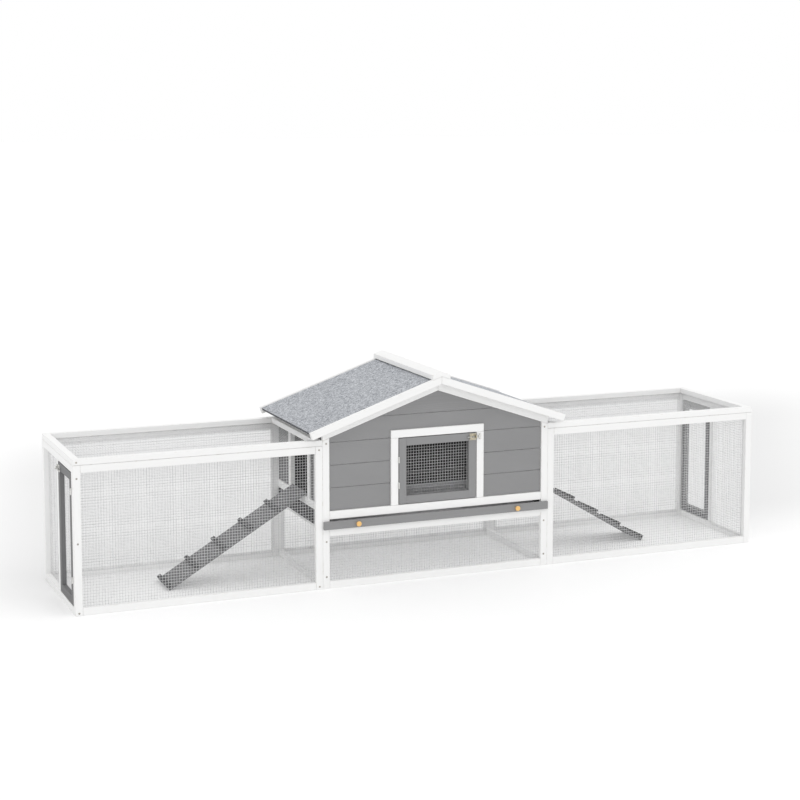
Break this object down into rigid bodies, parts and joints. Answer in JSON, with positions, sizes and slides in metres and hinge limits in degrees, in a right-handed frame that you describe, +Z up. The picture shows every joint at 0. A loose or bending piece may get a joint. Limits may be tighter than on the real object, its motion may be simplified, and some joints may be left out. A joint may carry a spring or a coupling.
{
  "type": "outdoor rabbit run",
  "caption": "Gabled wooden hutch between low wire-mesh runs, with a mesh front door, a mesh door in each outer end, a pull-out tray and a cleated ramp down into each run.",
  "frame": {"origin": "on the ground at the middle of the footprint", "axes": "+X to the right seen from the front, -Y towards the front with the hutch door, +Z up"},
  "size_m": [3.124, 0.68, 0.8836],
  "materials": {
    "white_timber": "satin white paint on planed softwood",
    "grey_timber": "satin grey paint on planed softwood",
    "grey_siding": "satin grey paint on grooved boards",
    "roofing_felt": "rough mineral-surfaced roofing felt",
    "wire_mesh": "galvanised welded wire",
    "zinc_hardware": "bright zinc plate",
    "brass_hardware": "yellow passivated zinc",
    "tray_metal": "galvanised sheet",
    "pine_knobs": "clear lacquer on turned pine"
  },
  "bodies": {
    "frame": {"front_frame": "white_timber", "back_frame": "white_timber", "front_siding": "grey_siding", "back_siding": "grey_siding", "door_surround": "white_timber", "gable_trims": "white_timber", "side_frames": "white_timber", "side_panels": "grey_siding", "tray_skirts": "grey_timber", "tray_runners": "white_timber", "underfloor_meshes": "wire_mesh", "ridge_beam": "white_timber", "roof_left_panel": "white_timber", "roof_right_panel": "white_timber", "roof_felt": "roofing_felt", "ridge_cap": "white_timber", "bargeboards": "white_timber", "left_run_front_frame": "white_timber", "left_run_back_frame": "white_timber", "left_run_end_frame": "white_timber", "left_run_lid_frame": "white_timber", "left_run_front_mesh": "wire_mesh", "left_run_back_mesh": "wire_mesh", "left_run_end_mesh": "wire_mesh", "left_run_lid_mesh": "wire_mesh", "right_run_front_frame": "white_timber", "right_run_back_frame": "white_timber", "right_run_end_frame": "white_timber", "right_run_lid_frame": "white_timber", "right_run_front_mesh": "wire_mesh", "right_run_back_mesh": "wire_mesh", "right_run_end_mesh": "wire_mesh", "right_run_lid_mesh": "wire_mesh", "fixed_hinge_leaves": "zinc_hardware", "bolt_keepers": "zinc_hardware", "frame_screws": "brass_hardware"},
    "front_door": {"front_door_frame": "grey_timber", "front_door_mesh": "wire_mesh", "front_door_hinge_leaves": "zinc_hardware", "front_door_bolt_case": "brass_hardware"},
    "left_door": {"left_door_frame": "grey_timber", "left_door_mesh": "wire_mesh", "left_door_hinge_leaves": "zinc_hardware", "left_door_bolt_case": "brass_hardware"},
    "right_door": {"right_door_frame": "grey_timber", "right_door_mesh": "wire_mesh", "right_door_hinge_leaves": "zinc_hardware", "right_door_bolt_case": "brass_hardware"},
    "front_bolt": {"front_door_bolt": "zinc_hardware"},
    "left_bolt": {"left_door_bolt": "zinc_hardware"},
    "right_bolt": {"right_door_bolt": "zinc_hardware"},
    "tray": {"tray_pan": "tray_metal", "tray_front": "grey_timber", "tray_knobs": "pine_knobs"},
    "left_ramp": {"left_ramp_board": "grey_timber", "left_ramp_cleats": "grey_timber", "left_ramp_hinge_leaves": "zinc_hardware"},
    "right_ramp": {"right_ramp_board": "grey_timber", "right_ramp_cleats": "grey_timber", "right_ramp_hinge_leaves": "zinc_hardware"}
  },
  "joints": [
    {"name": "front_door_hinge", "type": "hinge", "parent": "frame", "child": "front_door", "pos_m": [-0.1775, -0.303, 0.4675], "axis": [0, 0, -1], "range_deg": [0, 150]},
    {"name": "left_door_hinge", "type": "hinge", "parent": "frame", "child": "left_door", "pos_m": [-1.548, -0.2685, 0.3], "axis": [0, 0, 1], "range_deg": [0, 150]},
    {"name": "right_door_hinge", "type": "hinge", "parent": "frame", "child": "right_door", "pos_m": [1.548, 0.2685, 0.3], "axis": [0, 0, 1], "range_deg": [0, 150]},
    {"name": "front_bolt_slide", "type": "slide", "parent": "front_door", "child": "front_bolt", "axis": [1, 0, 0], "range_m": [0, 0.013]},
    {"name": "left_bolt_slide", "type": "slide", "parent": "left_door", "child": "left_bolt", "axis": [0, 1, 0], "range_m": [0, 0.013]},
    {"name": "right_bolt_slide", "type": "slide", "parent": "right_door", "child": "right_bolt", "axis": [0, -1, 0], "range_m": [0, 0.013]},
    {"name": "tray_slide", "type": "slide", "parent": "frame", "child": "tray", "axis": [0, -1, 0], "range_m": [0, 0.5]},
    {"name": "left_ramp_hinge", "type": "hinge", "parent": "frame", "child": "left_ramp", "pos_m": [-0.512, 0, 0.35], "axis": [0, 1, 0], "range_deg": [0, 45]},
    {"name": "right_ramp_hinge", "type": "hinge", "parent": "frame", "child": "right_ramp", "pos_m": [0.512, 0, 0.35], "axis": [0, -1, 0], "range_deg": [0, 45]}
  ]
}
